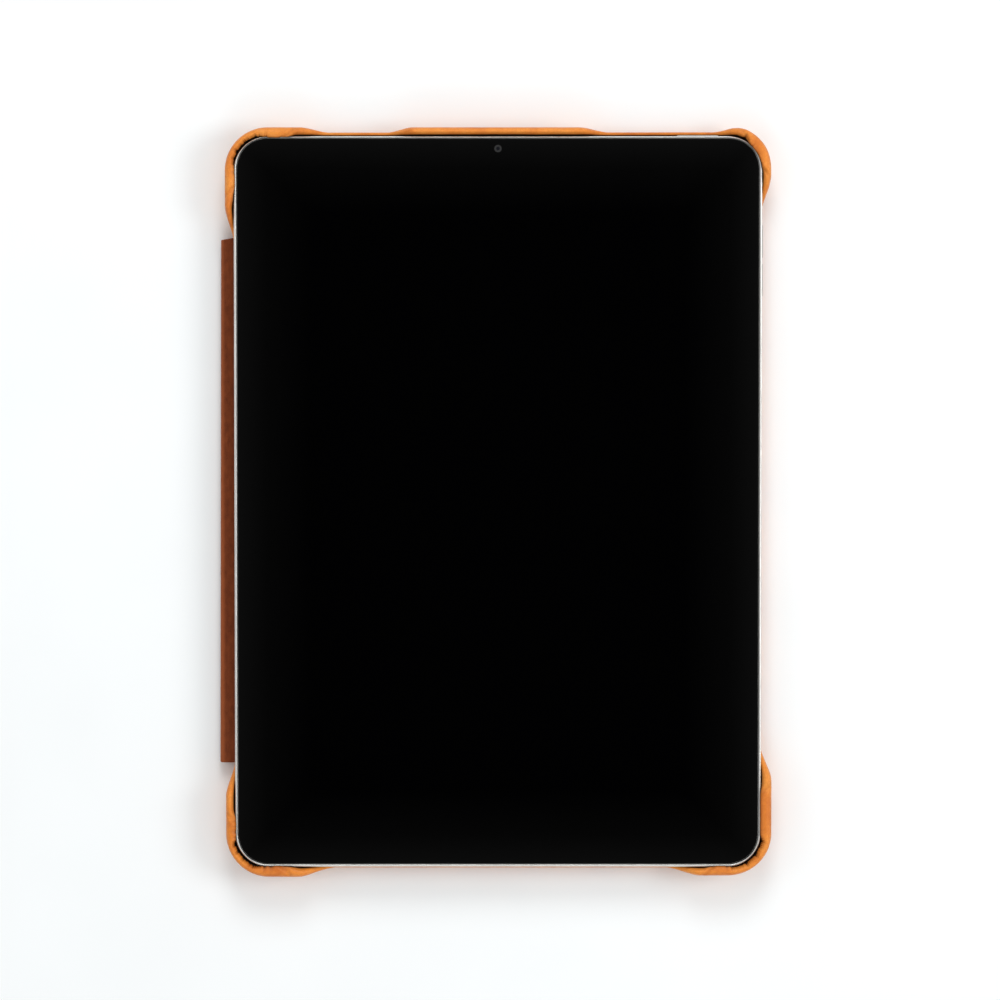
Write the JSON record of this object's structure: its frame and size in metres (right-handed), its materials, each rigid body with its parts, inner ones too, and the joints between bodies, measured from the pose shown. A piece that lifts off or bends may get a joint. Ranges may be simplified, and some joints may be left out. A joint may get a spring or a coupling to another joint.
{
  "type": "tablet reader in folio case",
  "caption": "Slim tablet-style reader with a black glass face and side buttons, clipped into a leather-wrapped shell with corner grips, folio cover folded behind it.",
  "frame": {"origin": "middle of the face that the folded cover rests on, under the centre of the reader's plan", "axes": "+X to the reader's right, +Y to its camera end, +Z out of the screen"},
  "size_m": [0.1862, 0.2536, 0.0142],
  "materials": {
    "anodised_aluminium": "satin",
    "black_glass": "gloss",
    "display": "matte",
    "black_foam": "matte",
    "stainless_steel": "satin",
    "black_plastic": "matte",
    "circuit_board": "satin",
    "chip_resin": "matte",
    "polyimide_flex": "satin",
    "battery_foil": "satin",
    "tan_leather": "satin",
    "strip_leather": "matte",
    "moulded_core": "matte",
    "microfibre": "matte",
    "grey_board": "matte",
    "nickel_magnet": "polished"
  },
  "bodies": {
    "reader_in_shell": {"rear_housing": "anodised_aluminium", "cover_glass": "black_glass", "display_panel": "display", "display_gasket": "black_foam", "display_shield": "stainless_steel", "front_camera": "black_plastic", "camera_lens": "black_plastic", "battery_left": "battery_foil", "battery_right": "battery_foil", "battery_lead_left": "polyimide_flex", "battery_lead_right": "polyimide_flex", "logic_board": "circuit_board", "board_screw_1": "stainless_steel", "board_screw_2": "stainless_steel", "board_screw_3": "stainless_steel", "board_screw_4": "stainless_steel", "processor": "chip_resin", "processor_can": "stainless_steel", "radio_can": "stainless_steel", "storage_chip": "chip_resin", "display_flex": "polyimide_flex", "port_flex": "polyimide_flex", "usb_port_shell": "stainless_steel", "usb_port_tongue": "black_plastic", "speaker_top_left": "black_plastic", "speaker_top_right": "black_plastic", "speaker_bottom_left": "black_plastic", "speaker_bottom_right": "black_plastic", "antenna_left": "polyimide_flex", "antenna_right": "polyimide_flex", "microphone": "stainless_steel", "power_switch": "black_plastic", "volume_up_switch": "black_plastic", "volume_down_switch": "black_plastic", "power_bracket": "stainless_steel", "volume_bracket": "stainless_steel", "case_shell": "moulded_core", "shell_leather": "tan_leather", "shell_liner": "microfibre"},
    "strip_upper": {"hinge_strip_upper": "strip_leather"},
    "strip_edge": {"hinge_strip_edge": "strip_leather"},
    "strip_lower": {"hinge_strip_lower": "strip_leather"},
    "cover": {"cover_leather": "tan_leather", "cover_board": "grey_board", "cover_lining": "microfibre", "cover_magnet_1": "nickel_magnet", "cover_magnet_2": "nickel_magnet", "cover_magnet_3": "nickel_magnet", "cover_magnet_4": "nickel_magnet"},
    "power_button": {"power_button": "anodised_aluminium"},
    "volume_up_button": {"volume_up_button": "anodised_aluminium"},
    "volume_down_button": {"volume_down_button": "anodised_aluminium"}
  },
  "joints": [
    {"name": "cover_fold", "type": "hinge", "parent": "strip_lower", "child": "cover", "pos_m": [-0.088, 0, 0.0009], "axis": [0, 1, 0], "range_deg": [0, 60]},
    {"name": "strip_shell_crease", "type": "hinge", "parent": "reader_in_shell", "child": "strip_upper", "pos_m": [-0.09, 0, 0.0045], "axis": [0, 1, 0], "range_deg": [0, 60]},
    {"name": "strip_upper_crease", "type": "hinge", "parent": "strip_upper", "child": "strip_edge", "pos_m": [-0.09325, 0, 0.0045], "axis": [0, 1, 0], "range_deg": [0, 120]},
    {"name": "strip_lower_crease", "type": "hinge", "parent": "strip_edge", "child": "strip_lower", "pos_m": [-0.09325, 0, 0.0009], "axis": [0, 1, 0], "range_deg": [0, 120]},
    {"name": "power_button_press", "type": "slide", "parent": "reader_in_shell", "child": "power_button", "axis": [0, -1, 0], "range_m": [0, 0.0003], "stiffness_N_per_m": 600, "springref_m": -0.0005},
    {"name": "volume_up_button_press", "type": "slide", "parent": "reader_in_shell", "child": "volume_up_button", "axis": [-1, 0, 0], "range_m": [0, 0.0003], "stiffness_N_per_m": 600, "springref_m": -0.0005},
    {"name": "volume_down_button_press", "type": "slide", "parent": "reader_in_shell", "child": "volume_down_button", "axis": [-1, 0, 0], "range_m": [0, 0.0003], "stiffness_N_per_m": 600, "springref_m": -0.0005}
  ],
  "couplings": [
    {"joint": "strip_shell_crease", "follows": "cover_fold", "ratio": 1},
    {"joint": "strip_upper_crease", "follows": "cover_fold", "ratio": 2},
    {"joint": "strip_lower_crease", "follows": "cover_fold", "ratio": 2}
  ]
}
